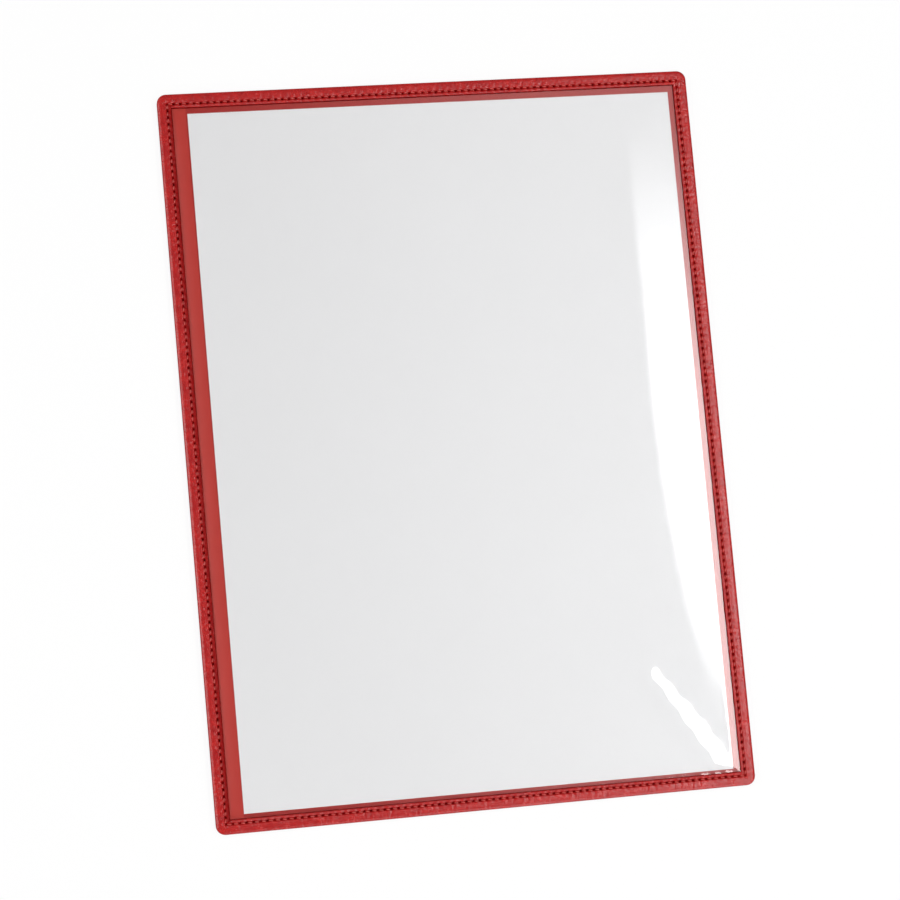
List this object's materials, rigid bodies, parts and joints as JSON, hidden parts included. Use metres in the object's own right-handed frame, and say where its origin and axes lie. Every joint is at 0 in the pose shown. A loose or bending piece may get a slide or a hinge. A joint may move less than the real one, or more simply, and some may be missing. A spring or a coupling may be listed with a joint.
{
  "type": "magnetic document pocket",
  "caption": "Flat clear-window document pocket with a stitched leatherette border, a slit mouth in its back and flexible magnet strips behind.",
  "frame": {"origin": "under the middle of the pocket, on the plane of the magnets' back faces", "axes": "+X to the right and +Y to the top as the window is read, +Z out of the window"},
  "size_m": [0.231, 0.3134, 0.0037],
  "materials": {
    "leatherette": "fine-grained red leatherette with a soft gloss",
    "smooth_red": "smooth red vinyl sheet",
    "clear_film": "clear glossy vinyl film",
    "white_paper": "plain white copier paper",
    "red_thread": "twisted red polyester thread",
    "magnet_rubber": "matt dark flexible magnet"
  },
  "bodies": {
    "root": {"front_frame": "leatherette", "back_cover": "leatherette", "edge_strip": "smooth_red", "lining_sheet": "smooth_red", "window_film": "clear_film", "paper_sheet": "white_paper", "front_thread": "red_thread", "back_thread": "red_thread", "magnet_strip_top": "magnet_rubber", "magnet_strip_bottom": "magnet_rubber"}
  },
  "joints": []
}
